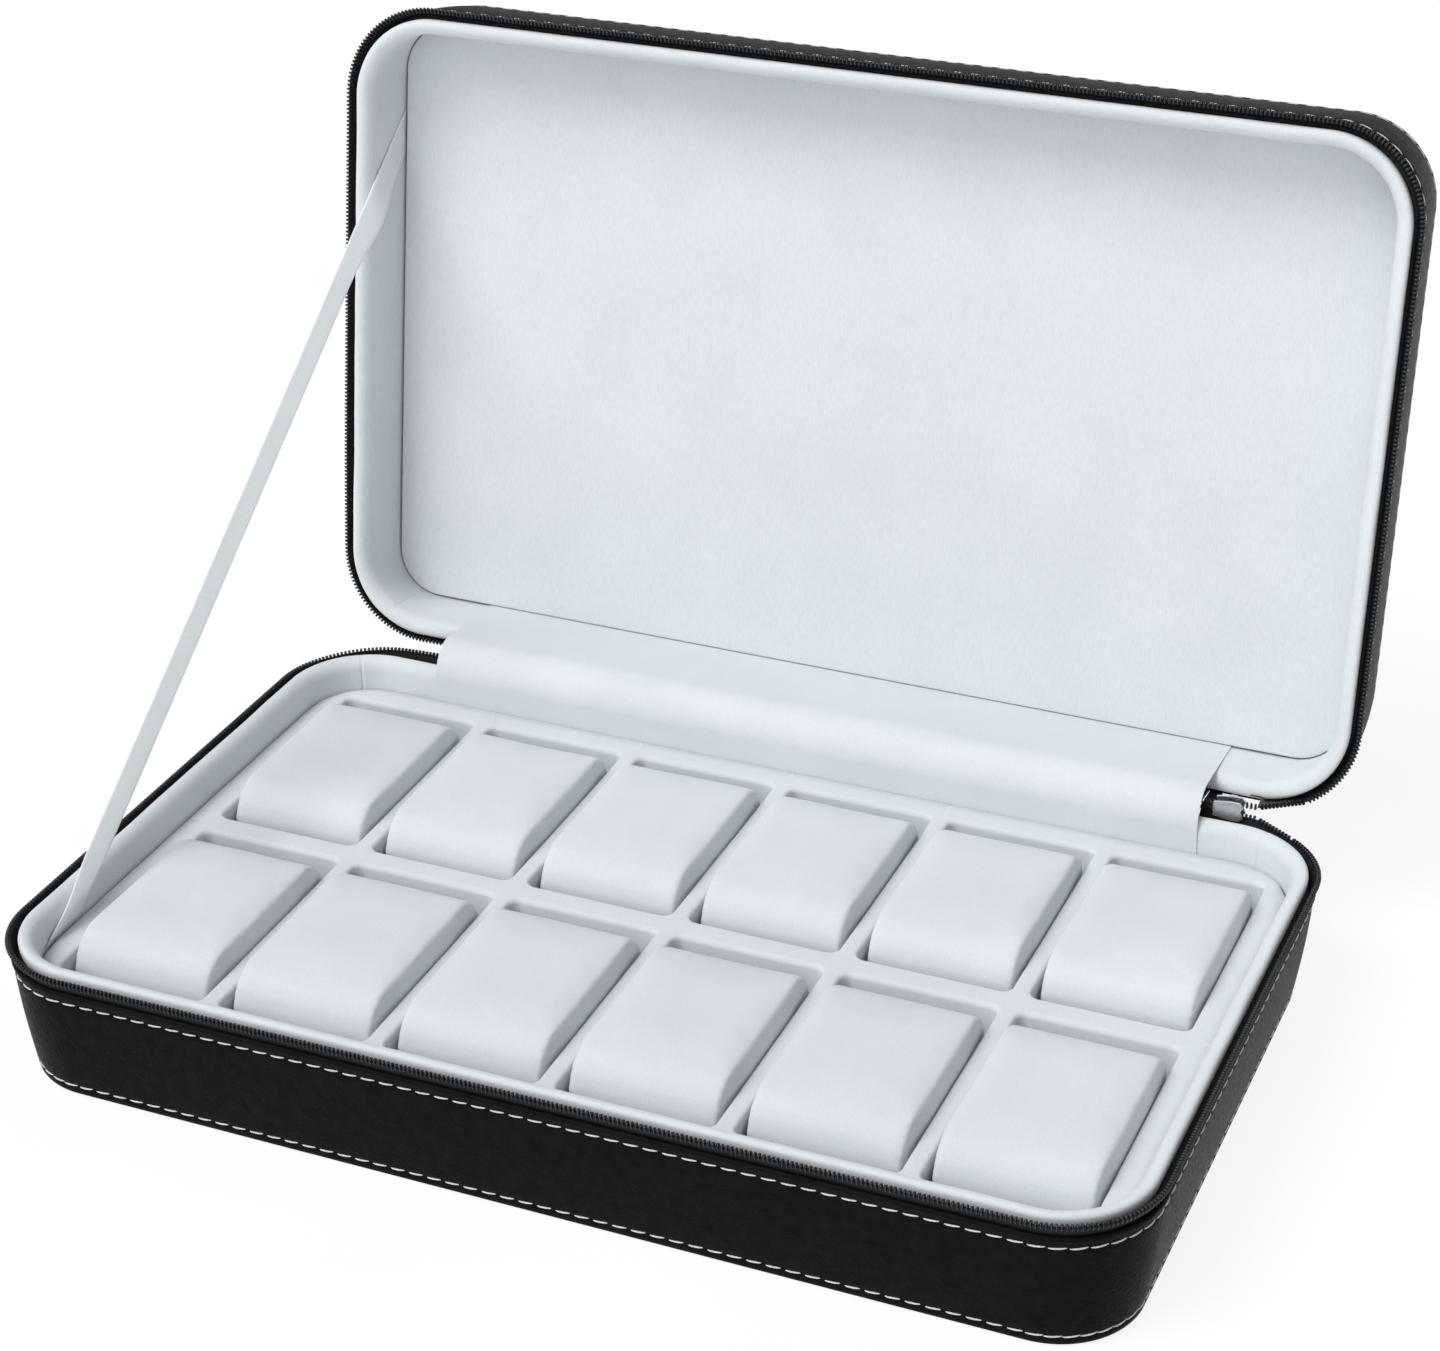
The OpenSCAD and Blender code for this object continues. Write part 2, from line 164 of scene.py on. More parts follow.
def outline(s):
    """(x, y, outward x, outward y) at a distance along the outline."""
    s = s % AROUND
    k = max(i for i in range(len(SEGMENTS)) if BREAKS[i] <= s + 1e-9)
    kind, a, b, c = SEGMENTS[k]
    t = s - BREAKS[k]
    if kind == "line":
        f = t / LENGTHS[k]
        return a[0] + (b[0] - a[0]) * f, a[1] + (b[1] - a[1]) * f, c[0], c[1]
    angle = b + t / CORNER_R
    nx, ny = math.cos(angle), math.sin(angle)
    return a[0] + CORNER_R * nx, a[1] + CORNER_R * ny, nx, ny


def stations(start, stop, step, arc_step=2 * MM, also=()):
    """Distances along the outline from start to stop, closer together round the corners."""
    found = {round(start, 7), round(stop, 7)}
    for k, length in enumerate(LENGTHS):
        pace = step if SEGMENTS[k][0] == "line" else arc_step
        count = max(1, math.ceil(length / pace))
        for i in range(count + 1):
            found.add(round(BREAKS[k] + length * i / count, 7))
    found.update(round(s, 7) for s in also)
    return sorted(s for s in found if start - 1e-7 <= s <= stop + 1e-7)


# ---- Meshes ----

def rework(mesh, change):
    """Changes a mesh as a bmesh, and turns its faces outward."""
    work = bmesh.new()
    work.from_mesh(mesh)
    change(work)
    bmesh.ops.recalc_face_normals(work, faces=work.faces)
    work.to_mesh(mesh)
    work.free()


def make_object(name, points, faces, uvs=None, sharp=45):
    """A smooth-shaded object whose edges sharper than that many degrees stay sharp."""
    mesh = bpy.data.meshes.new(name)
    mesh.from_pydata([tuple(p) for p in points], [], faces)
    if uvs is not None:
        layer = mesh.uv_layers.new(name="UVMap")
        layer.data.foreach_set("uv", np.array(uvs, np.float32).ravel())
    rework(mesh, lambda work: None)
    mesh.shade_smooth()
    mesh.set_sharp_from_angle(angle=math.radians(sharp))
    made = bpy.data.objects.new(name, mesh)
    bpy.context.scene.collection.objects.link(made)
    return made


def tube_faces(rings, size, closed, caps=True):
    """Faces that join rings of points into a tube, whose ends are closed by caps."""
    faces = []
    for i in range(rings if closed else rings - 1):
        j = (i + 1) % rings
        for k in range(size):
            m = (k + 1) % size
            faces.append((i * size + k, j * size + k, j * size + m, i * size + m))
    if not closed and caps:
        faces.append(tuple(range(size - 1, -1, -1)))
        faces.append(tuple((rings - 1) * size + k for k in range(size)))
    return faces


def tube_uvs(places, ring, closed, faces):
    """UVs in metres: u along the sweep, v round the profile."""
    size = len(ring)
    along = list(places) + [places[0] + AROUND]
    v = [0.0]
    for k in range(size):
        v.append(v[-1] + math.dist(ring[k], ring[(k + 1) % size]))
    uvs = []
    for f in faces:
        if len(f) != 4 or (not closed and f in faces[-2:]):
            uvs += [(0.0, 0.0)] * len(f)
            continue
        i, k = divmod(f[0], size)
        uvs += [(along[i + a], v[k + b]) for a, b in ((0, 0), (1, 0), (1, 1), (0, 1))]
    return uvs


def sweep(name, places, profile, closed=True, lid=False, sharp=45):
    """Carries a profile round the outline. profile(s) is a loop of (distance in, height)."""
    if closed:
        places = places[:-1]
    points = []
    for s in places:
        x, y, nx, ny = outline(s)
        points += [(x - nx * d, y - ny * d, z) for d, z in profile(s)]
    ring = profile(places[0])
    faces = tube_faces(len(places), len(ring), closed)
    uvs = tube_uvs(places, ring, closed, faces)
    return make_object(name, swing(points) if lid else points, faces, uvs, sharp)


def stamp(name, template, faces, spots, sharp=45):
    """Copies of one small form. A spot is its origin and its along, outward and up directions."""
    template = np.array(template, float)
    points, made = [], []
    for n, (origin, along, out, up) in enumerate(spots):
        axes = np.array([along, out, up], float)
        points.append(template @ axes + np.array(origin, float))
        made += [tuple(i + n * len(template) for i in f) for f in faces]
    return make_object(name, np.concatenate(points), made, sharp=sharp)


def swung(spots):
    """A stamp's spots on the shut lid, where they are with the lid open."""
    return [(swing([o])[0], *(turn([v])[0] for v in axes)) for o, *axes in spots]


def wander(x, y, z, scale, seed=0.0):
    """Smooth noise from -1 to 1 over lengths of about scale."""
    return noise.noise(Vector((x / scale + seed, y / scale - seed, z / scale + 2 * seed)))


# ---- Materials ----

class Look:
    """A procedural material under construction."""

    def __init__(self, name, roughness, **settings):
        self.material = bpy.data.materials.new(name)
        self.material.use_nodes = True
        self.tree = self.material.node_tree
        self.shader = self.tree.nodes["Principled BSDF"]
        self.shader.inputs["Roughness"].default_value = roughness
        for key, value in settings.items():
            self.shader.inputs[key.replace("_", " ")].default_value = value
        self.place = self.add("ShaderNodeTexCoord").outputs["Object"]

    def add(self, kind, **values):
        """A node. Names in capitals are its properties, and others are its inputs."""
        node = self.tree.nodes.new(kind)
        for key, value in values.items():
            if key.isupper():
                setattr(node, key.lower(), value)
            elif isinstance(value, bpy.types.NodeSocket):
                self.tree.links.new(value, node.inputs[key.replace("_", " ")])
            else:
                node.inputs[key.replace("_", " ")].default_value = value
        return node

    def stretched(self, scale, source=None):
        """The place, scaled along each axis."""
        return self.add(
            "ShaderNodeMapping", Vector=source or self.place, Scale=scale
        ).outputs["Vector"]

    def noise(self, scale, detail=3.0, place=None):
        return self.add(
            "ShaderNodeTexNoise", Vector=place or self.place, Scale=scale, Detail=detail
        ).outputs["Fac"]

    def cells(self, scale):
        node = self.add(
            "ShaderNodeTexVoronoi",
            FEATURE="SMOOTH_F1",
            Vector=self.place,
            Scale=scale,
            Smoothness=0.5,
        )
        return node.outputs["Distance"]

    def wave(self, scale, direction, source=None, distortion=0.0):
        return self.add(
            "ShaderNodeTexWave",
            BANDS_DIRECTION=direction,
            Vector=source or self.place,
            Scale=scale,
            Distortion=distortion,
        ).outputs["Fac"]

    def ramp(self, factor, low, high, start=0.3, end=0.7):
        """A colour or value that goes from low to high as factor goes from start to end."""
        node = self.add("ShaderNodeValToRGB", Fac=factor)
        for stop, position, colour in zip(node.color_ramp.elements, (start, end), (low, high)):
            stop.position = position
            stop.color = (*colour, 1.0) if hasattr(colour, "__len__") else (colour,) * 3 + (1.0,)
        return node.outputs["Color"]

    def mixed(self, a, b, factor):
        node = self.add("ShaderNodeMix", DATA_TYPE="RGBA")
        node.inputs["Factor"].default_value = factor
        self.tree.links.new(a, node.inputs[6])
        self.tree.links.new(b, node.inputs[7])
        return node.outputs[2]

    def colour(self, source):
        self.tree.links.new(source, self.shader.inputs["Base Color"])

    def roughness(self, source):
        self.tree.links.new(source, self.shader.inputs["Roughness"])

    def bump(self, height, distance, strength=1.0):
        """Adds relief on top of what is there already."""
        node = self.add("ShaderNodeBump", Height=height, Distance=distance, Strength=strength)
        normal = self.shader.inputs["Normal"]
        if normal.links:
            self.tree.links.new(normal.links[0].from_socket, node.inputs["Normal"])
        self.tree.links.new(node.outputs["Normal"], normal)


def leather_look():
    look = Look("leather_black", 0.4, Specular_IOR_Level=0.025)
    grain = look.cells(1250)
    creases = look.noise(260, 5.0)
    look.colour(look.ramp(creases, (0.0042, 0.0046, 0.0058), (0.0072, 0.0077, 0.0093)))
    look.roughness(look.ramp(look.noise(900, 2.0), 0.36, 0.5))
    look.bump(grain, 0.00014, 0.8)
    look.bump(creases, 0.0003, 0.5)
    return look.material


def velvet_look(name, nap):
    """Short-pile velvet. nap is how the pile's streaks stretch along each axis."""
    look = Look(
        name,
        0.92,
        Specular_IOR_Level=0.15,
        Sheen_Weight=0.12,
        Sheen_Roughness=0.45,
        Sheen_Tint=(0.97, 0.99, 1.0, 1.0),
    )
    pile = look.noise(1.0, 2.0, look.stretched(nap))
    brushed = look.noise(38, 4.0)
    fine = look.ramp(pile, (0.60, 0.637, 0.656), (0.70, 0.736, 0.755), 0.32, 0.68)
    broad = look.ramp(brushed, (0.62, 0.657, 0.676), (0.68, 0.716, 0.735))
    look.colour(look.mixed(fine, broad, 0.5))
    look.bump(pile, 0.00016, 0.4)
    look.bump(brushed, 0.0004, 0.15)
    return look.material


def satin_look():
    look = Look(
        "satin_ribbon",
        0.38,
        Specular_IOR_Level=0.45,
        Subsurface_Weight=0.6,
        Subsurface_Radius=(1.0, 1.0, 1.0),
        Subsurface_Scale=0.0015,
    )
    uv = look.add("ShaderNodeTexCoord").outputs["UV"]
    weave = look.wave(900, "Y", uv, 1.5)
    streak = look.noise(1.0, 3.0, look.stretched((60, 2600, 1), uv))
    look.colour(look.ramp(streak, (0.86, 0.91, 0.95), (0.94, 0.97, 0.99)))
    look.roughness(look.ramp(streak, 0.32, 0.5))
    look.bump(weave, 0.00004, 0.5)
    look.bump(streak, 0.00006, 0.5)
    return look.material


def tape_look():
    look = Look("zip_tape", 0.8, Specular_IOR_Level=0.25)
    uv = look.add("ShaderNodeTexCoord").outputs["UV"]
    rib = look.wave(420, "X", uv)
    cross = look.wave(520, "Y", uv)
    look.colour(look.ramp(rib, (0.006, 0.006, 0.007), (0.016, 0.016, 0.018)))
    look.bump(rib, 0.00012, 0.6)
    look.bump(cross, 0.00008, 0.6)
    return look.material


def coil_look():
    look = Look("zip_coil", 0.3, Specular_IOR_Level=0.4)
    wear = look.noise(700, 3.0)
    look.colour(look.ramp(wear, (0.006, 0.006, 0.007), (0.018, 0.018, 0.02)))
    look.roughness(look.ramp(wear, 0.26, 0.4))
    look.bump(wear, 0.00002, 0.3)
    return look.material


def thread_look():
    look = Look("thread_white", 0.65, Sheen_Weight=0.15)
    strand = look.noise(2600, 2.0, look.stretched((1, 1, 2)))
    look.colour(look.ramp(strand, (0.45, 0.46, 0.47), (0.72, 0.73, 0.74)))
    look.bump(strand, 0.0001, 0.6)
    return look.material


def nickel_look():
    look = Look("nickel", 0.24, Metallic=1.0)
    scratch = look.noise(1.0, 4.0, look.stretched((400, 2600, 2600)))
    look.colour(look.ramp(scratch, (0.66, 0.66, 0.67), (0.84, 0.84, 0.84)))
    look.roughness(look.ramp(scratch, 0.24, 0.42))
    look.bump(scratch, 0.00003, 0.4)
    return look.material


def board_look():
    look = Look("board", 0.85)
    pulp = look.noise(900, 4.0)
    look.colour(look.ramp(pulp, (0.014, 0.013, 0.012), (0.03, 0.028, 0.026)))
    look.bump(pulp, 0.0001, 0.5)
    return look.material


LEATHER = leather_look()
VELVET = velvet_look("velvet_grey", (2600, 2600, 2600))
NAP = velvet_look("velvet_brushed", (2600, 2600, 420))
SATIN = satin_look()
TAPE = tape_look()
COIL = coil_look()
THREAD = thread_look()
NICKEL = nickel_look()
BOARD = board_look()


def dress(made, material, slot, body, *nodes):
    """Gives a finished piece its material and body, and hides the CAD nodes it stands for."""
    made.data.materials.append(material)
    if isinstance(body, str):
        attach(made, body)
    if nodes:
        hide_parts(*nodes)
    return made


# ---- Leather ----

STITCH_FROM_RIM = 3.5 * MM
STITCH_FROM_FAR = 3 * MM
GROOVE = 0.28 * MM
EDGE_R = 1.0 * MM
LIP_R = 0.75 * MM
LIP_H = 1.9 * MM
PLUMP = 0.35 * MM


def band_face(d, height, taper):
    """How far in the leather's outside face lies, at a distance from the rim."""
    rows = (STITCH_FROM_RIM, height - STITCH_FROM_FAR)
    pulled = sum(GROOVE * math.exp(-(((d - row) / (0.8 * MM)) ** 2)) for row in rows)
    middle = math.sin(math.pi * max(0.0, min(1.0, (d - rows[0]) / (rows[1] - rows[0]))))
    return taper * d / height + pulled - PLUMP * middle


def band_profile(height, taper, to_z):
    """The leather side with its rolled rim. to_z turns a distance from the rim into a height."""
    rows = (STITCH_FROM_RIM, height - STITCH_FROM_FAR)
    near = [-1.6, -1.1, -0.7, -0.35, 0, 0.35, 0.7, 1.1, 1.6]
    depths = sorted(
        [row + k * MM for row in rows for k in near if row + k * MM < height - EDGE_R]
        + [rows[0] + (rows[1] - rows[0]) * k / 8 for k in range(1, 8)]
    )
    loop = []
    for k in range(7):  # the rolled rim, from the inside over to the outside
        a = math.pi * (k / 6)
        loop.append((LIP_R - 0.12 * MM + LIP_R * math.cos(a), LIP_R - LIP_R * math.sin(a)))
    loop.append((-0.08 * MM, LIP_H * 0.7))
    loop += [(band_face(d, height, taper), d) for d in depths]
    for k in range(5):  # the far edge
        a = math.pi / 2 * k / 4
        loop.append((
            taper + EDGE_R - EDGE_R * math.cos(a),
            height - EDGE_R + EDGE_R * math.sin(a),
        ))
    loop.append((taper + LEATHER_T, height))
    loop.append((taper + LEATHER_T, height - 0.3 * MM))
    loop.append((LEATHER_T + taper * 0.1, height * 0.1))
    return [(d, to_z(z)) for d, z in loop]


def leather_band(body, height, taper, to_z):
    profile = band_profile(height, taper, to_z)
    places = stations(0, AROUND, 12 * MM)
    name = f"{body}_leather"
    made = sweep(name, places, lambda s: profile, lid=body == "lid", sharp=60)
    return dress(made, LEATHER, "leather_black", body, f"{body}_leather_band")


def top_panel():
    """The lid's leather top, slightly crowned, with a rolled edge beside the seam."""
    inset = LID_TAPER + LEATHER_T + 0.05 * MM
    places = stations(0, AROUND, 12 * MM)[:-1]
    drops = [(0.0, 1.0), (0.0, 0.55), (0.15, 0.25), (0.5, 0.02), (1.2, -0.1)]
    rings = []
    for d, low in drops:
        rings.append(([outline(s) for s in places], inset + d * MM, CASE_H - low * MM, 1.0))
    for f in (0.9, 0.75, 0.5, 0.25):
        rings.append(([outline(s) for s in places], inset + 1.2 * MM, CASE_H + 0.1 * MM, f))
    points = []
    for ring, d, z, f in rings:
        crown = 0.5 * MM * (1 - f * f)
        points += [((x - nx * d) * f, (y - ny * d) * f, z + crown) for x, y, nx, ny in ring]
    size = len(places)
    faces = tube_faces(len(rings), size, False)
    faces[-2] = tuple(range(size))
    made = make_object("lid_top_leather", swing(points), faces)
    return dress(made, LEATHER, "leather_black", "lid", "lid_top_panel")


def stitch_form():
    """One stitch: a thread that comes up, lies along the leather and goes down again."""
    rings, sides, r = 7, 6, 0.23 * MM
    points = []
    for i in range(rings):
        t = i / (rings - 1)
        rise = 0.42 * MM * math.sin(math.pi * t) ** 0.6 - 0.22 * MM
        thin = r * (0.6 + 0.4 * math.sin(math.pi * t) ** 0.5)
        for k in range(sides):
            a = 2 * math.pi * k / sides
            points.append((
                (t - 0.5) * STITCH_L,
                rise + thin * math.cos(a),
                thin * math.sin(a),
            ))
    return points, tube_faces(rings, sides, False)


def stitches(body, height, taper, to_z):
    """Both rows of stitches on one leather side."""
    points, faces = stitch_form()
    spots = []
    slant = math.radians(4.5)
    for row in (STITCH_FROM_RIM, height - STITCH_FROM_FAR):
        count = round(AROUND / STITCH_PITCH)
        for i in range(count):
            x, y, nx, ny = outline(AROUND * (i + 0.5) / count)
            d = band_face(row, height, taper)
            along = Vector((-ny, nx, 0)) * math.cos(slant) + Vector((0, 0, math.sin(slant)))
            out = Vector((nx, ny, 0))
            up = out.cross(along) * -1
            spots.append(((x - nx * d, y - ny * d, to_z(row)), along, out, up))
    if body == "lid":
        spots = swung(spots)
    made = stamp(f"{body}_stitches", points, faces, spots)
    return dress(made, THREAD, "thread_white", body, f"{body}_stitching")


BANDS = (
    # body, height, taper, and what turns a distance from the rim into a height
    ("base", BASE_H, BASE_TAPER, lambda d: BASE_H - d),
    ("lid", CASE_H - LID_Z, LID_TAPER, lambda d: LID_Z + d),
)
for band in BANDS:
    leather_band(*band)
top_panel()
for band in BANDS:
    stitches(*band)


# ---- Zip ----

TOOTH_RINGS = [
    # height, half its length along the zip and half its depth, in millimetres, from foot to head
    (-0.9, 0.30, 0.40),
    (-0.3, 0.32, 0.65),
    (0.1, 0.36, 0.95),
    (0.45, 0.43, 0.85),
    (0.75, 0.36, 0.55),
    (0.9, 0.14, 0.22),
]


def tooth_form():
    """One loop of the coil: a narrow leg that widens into a round head, which points up."""
    sides = 8
    points = []
    for height, along, out in TOOTH_RINGS:
        for k in range(sides):
            angle = 2 * math.pi * (k + 0.5) / sides
            points.append((
                along * MM * math.cos(angle),
                out * MM * math.sin(angle),
                height * MM,
            ))
    return points, tube_faces(len(TOOTH_RINGS), sides, False)


TOOTH, TOOTH_FACES = tooth_form()


def easing(f):
    """Goes smoothly from 0 to 1 as f does."""
    f = max(0.0, min(1.0, f))
    return f * f * (3 - 2 * f)


def end_run(side):
    """Where a row of teeth leaves the wall, runs straight, and meets the other row."""
    x, y, nx, ny = outline(ZIP_END)
    slider_z = PARTING_Z + side * COIL_IN_SLIDER
    return [
        (x - nx * COIL_IN, y - ny * COIL_IN, LID_COIL_Z if side > 0 else BASE_COIL_Z),
        (COIL_STRAIGHT_X, SLIDER_Y, slider_z),
        (COIL_MEET_X, SLIDER_Y, slider_z),
    ]


def coil_at(s, side):
    """How far in and how high a row of teeth runs. side is 1 for the lid and -1 for the base."""
    if s <= ZIP_END:
        if side > 0:
            return COIL_IN + LID_TUCK * (1 - easing(s / LID_TUCK_RUN)), LID_COIL_Z
        return COIL_IN, BASE_COIL_Z + HINGE_RISE * (1 - easing(s / HINGE_RISE_RUN))
    x, y, nx, ny = outline(s)
    points = end_run(side)
    for p, q in zip(points, points[1:]):
        ux, uy = q[0] - p[0], q[1] - p[1]
        det = ux * ny - uy * nx
        t = ((x - p[0]) * ny - (y - p[1]) * nx) / det
        d = (ux * (y - p[1]) - uy * (x - p[0])) / det
        if t <= 1:
            break
    return d, p[2] + min(t, 1) * (q[2] - p[2])


def coil_spots(side):
    """Where the teeth stand along the wall. The lid's heads point down, and the base's up."""
    spots = []
    for i in range(int(ZIP_END / TOOTH_PITCH)):
        s = TOOTH_PITCH * (i + 0.5)
        x, y, nx, ny = outline(s)
        d, z = coil_at(s, side)
        spots.append((
            (x - nx * d, y - ny * d, z),
            (-ny, nx, 0),
            (nx, ny, 0),
            (0, 0, -side),
        ))
    return spots


def spots_between(start, end, side):
    """Teeth along a straight run, with their heads up or down."""
    start, end = Vector(start), Vector(end)
    along = (end - start).normalized()
    out = along.cross(Vector((0, 0, 1))).normalized()
    up = out.cross(along).normalized() * side
    count = int((end - start).length / TOOTH_PITCH)
    return [(start + along * TOOTH_PITCH * (i + 0.5), along, out, up) for i in range(count)]


def zip_coils():
    """Both rows of teeth, and the lid's row from the corner to the slider, which bends."""
    leave, straight, meet = end_run(-1)
    spots = coil_spots(-1)
    spots += spots_between(leave, straight, 1) + spots_between(straight, meet, 1)
    made = stamp("base_zip_teeth", TOOTH, TOOTH_FACES, spots)
    dress(made, COIL, "zip_black", "base", "base_zip_coil")

    made = stamp("lid_zip_teeth", TOOTH, TOOTH_FACES, swung(coil_spots(1)))
    dress(made, COIL, "zip_black", "lid", "lid_zip_coil")

    leave, straight, meet = end_run(1)
    leave = tuple(swing([leave])[0])
    spots = spots_between(leave, straight, -1) + spots_between(straight, meet, -1)
    start = HINGE_HALF - 0.3 * MM
    for k in range(int((COIL_MEET_X - start) / (TOOTH_PITCH / 2))):
        side = 1 if k % 2 else -1
        origin = (start + TOOTH_PITCH / 2 * (k + 0.5), SLIDER_Y, PARTING_Z - side * COIL_H * 0.42)
        spots.append((origin, (1, 0, 0), (0, -1, 0), (0, 0, side)))
    made = stamp("zip_closed_end", TOOTH, TOOTH_FACES, spots)
    free_y = SLIDER_HIGH.y + 1 * MM
    behind = [(x, free_y, straight[2]) for x in (SLIDER_HIGH.x, straight[0] - 0.4 * MM)]
    add_end_tape(made, [*behind, straight, leave], SLIDER_HIGH.x, ZIP_END)
    before = SLIDER_LOW.x - 0.6 * MM
    chain = [(x, SLIDER_Y, PARTING_Z - COIL_H * 0.9) for x in (start, before)]
    add_end_tape(made, chain, start, BREAKS[8] + FLAT_X - before)
    dress(made, COIL, "zip_black", None, "zip_chain_end")
    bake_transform(made)


def add_end_tape(made, teeth, from_x, to_s):
    """Cloth from teeth on their way to the slider to the lid's rim, between two places along it."""
    rim, edge, count = [], [], 24
    from_s = BREAKS[8] + FLAT_X - from_x
    spans = [math.dist(a, b) for a, b in zip(teeth, teeth[1:])]
    for k in range(count + 1):
        x, y, nx, ny = outline(from_s + (to_s - from_s) * k / count)
        rim.append(swing([(x - nx * TAPE_IN, y - ny * TAPE_IN, LID_Z)])[0])
        run, i = sum(spans) * k / count, 0
        while i < len(spans) - 1 and run > spans[i]:
            run -= spans[i]
            i += 1
        f = run / spans[i]
        edge.append(np.array(teeth[i]) * (1 - f) + np.array(teeth[i + 1]) * f)
    points = []
    for a, b in zip(rim, edge):
        across = np.cross(b - a, (1, 0, 0))
        across *= TAPE_T / 2 / np.linalg.norm(across)
        points += [a + across, b + across, b - across, a - across]

    def add_strip(work):
        verts = [work.verts.new(p) for p in points]
        for f in tube_faces(count + 1, 4, False):
            work.faces.new([verts[i] for i in f])

    rework(made.data, add_strip)


def tape_profile(s, rim, side):
    """The tape's section. It starts behind the leather and flares out to the teeth."""
    sign = -side
    foot = rim - sign * 6 * MM
    coil_in, coil_z = coil_at(s, side)
    top = coil_z - sign * 0.1 * MM
    inner = [
        (TAPE_IN + TAPE_T + 0.6 * MM, foot),
        (TAPE_IN + TAPE_T + 0.2 * MM, rim - sign * 0.5 * MM),
        (TAPE_IN + TAPE_T, rim + sign * 0.1 * MM),
        (coil_in + TAPE_T * 0.9, top - sign * 0.5 * MM),
        (coil_in + TAPE_T * 0.5, top),
    ]
    outer = [(d - TAPE_T, z) for d, z in reversed(inner)]
    return inner + outer


def zip_tape(body, rim, side, end):
    made = sweep(
        f"{body}_tape",
        stations(0, end, 4 * MM, also=[ZIP_END]),
        lambda s: tape_profile(s, rim, side),
        closed=False,
        lid=side > 0,
        sharp=80,
    )
    return dress(made, TAPE, "zip_black", body, f"{body}_zip_tape")


zip_coils()
zip_tape("base", BASE_H, -1, BREAKS[8] + FLAT_X - HINGE_HALF)
zip_tape("lid", LID_Z, 1, ZIP_END)


# ---- Velvet linings ----

CREASE_W = 0.5 * MM
CREASE_DEPTH = 0.22 * MM
BASE_CREASE, LID_CREASE = 1.3, 0.6
REAR_CREASES = [BREAKS[1] + CORNER_R * math.radians(30), BREAKS[7] + CORNER_R * math.radians(71)]
CREST_IN = 3.6 * MM
CREST_R = 1.3 * MM
SHOULDER = 4.2 * MM


def crease(s):
    """How far the lining is pulled in by its upright seams in the rear corners."""
    return sum(CREASE_DEPTH * math.exp(-(((s - at) / CREASE_W) ** 2)) for at in REAR_CREASES)


def squarer(s, r):
    """How far out a corner of radius r reaches past the lining's own rounder corner."""
    k = max(i for i in range(len(SEGMENTS)) if BREAKS[i] <= s % AROUND + 1e-9)
    if SEGMENTS[k][0] == "line":
        return 0.0
    full = CORNER_R - WALL_INSET
    angle = (s - BREAKS[k]) / CORNER_R
    c, n = math.cos(angle), math.sin(angle)
    shift = full - r
    reach = shift * (c + n) + math.sqrt(max(0.0, r * r - (shift * (c - n)) ** 2))
    if c * reach < shift or n * reach < shift:
        reach = full / max(c, n)
    return reach - full


def lining_profile(s, rim, end, sign, corner_r):
    """The padded wall: up its face from the tray or panel, over the soft rim and down outside."""
    x, y, nx, ny = outline(s)
    pull = crease(s) * (BASE_CREASE if sign > 0 else LID_CREASE)
    soft = 0.18 * MM * wander(x, y, rim, 14 * MM)
    loop = []
    for k in range(6):
        f = k / 5
        z = end + (rim - sign * SHOULDER - end) * f
        out = squarer(s, corner_r) * (1 - f) if corner_r else 0.0
        belly = 0.25 * MM * math.sin(math.pi * f)
        loop.append((WALL_INSET - out + belly - pull + soft * f, z))
    for k in range(1, 8):
        a = math.pi / 2 * k / 7
        loop.append((
            CREST_IN + (WALL_INSET - CREST_IN) * math.cos(a) + soft - pull * math.cos(a),
            rim - sign * (SHOULDER * (1 - math.sin(a)) + 0.5 * pull * math.sin(a)),
        ))
    for k in range(1, 6):
        a = math.pi / 2 * k / 5
        loop.append((
            CREST_IN - CREST_R * math.sin(a) + soft,
            rim - sign * (CREST_R * (1 - math.cos(a)) + 0.5 * pull * math.cos(a)),
        ))
    loop.append((CREST_IN - CREST_R + 0.05 * MM, rim - sign * 2.6 * MM))
    loop.append((CREST_IN - CREST_R + 0.4 * MM, rim - sign * 4.2 * MM))
    loop.append((CREST_IN + 0.2 * MM, rim - sign * 5.6 * MM))
    loop.append((WALL_INSET - 2 * MM, rim - sign * 7.5 * MM))
    return loop


def lining(body, rim, end, sign, corner_r, material):
    near = [k * 0.3 * MM for k in range(-5, 6)]
    places = stations(0, AROUND, 5 * MM, also=[at + k for at in REAR_CREASES for k in near])
    made = sweep(
        f"{body}_lining",
        places,
        lambda s: lining_profile(s, rim, end, sign, corner_r),
        lid=body == "lid",
        sharp=70,
    )
    dress(made, material, "velvet_grey", body, f"{body}_lining_wall")


BELOW_TRAY, BEHIND_PANEL = 4 * MM, 8 * MM
lining("base", BASE_H + LINING_RISE, TRAY_TOP - BELOW_TRAY, 1, None, VELVET)
lining("lid", LID_Z - LINING_RISE, PANEL_Z + BEHIND_PANEL, -1, PANEL_CORNER_R, NAP)


# ---- Tray ----

SIGNS = ((1, 1), (-1, 1), (-1, -1), (1, -1))


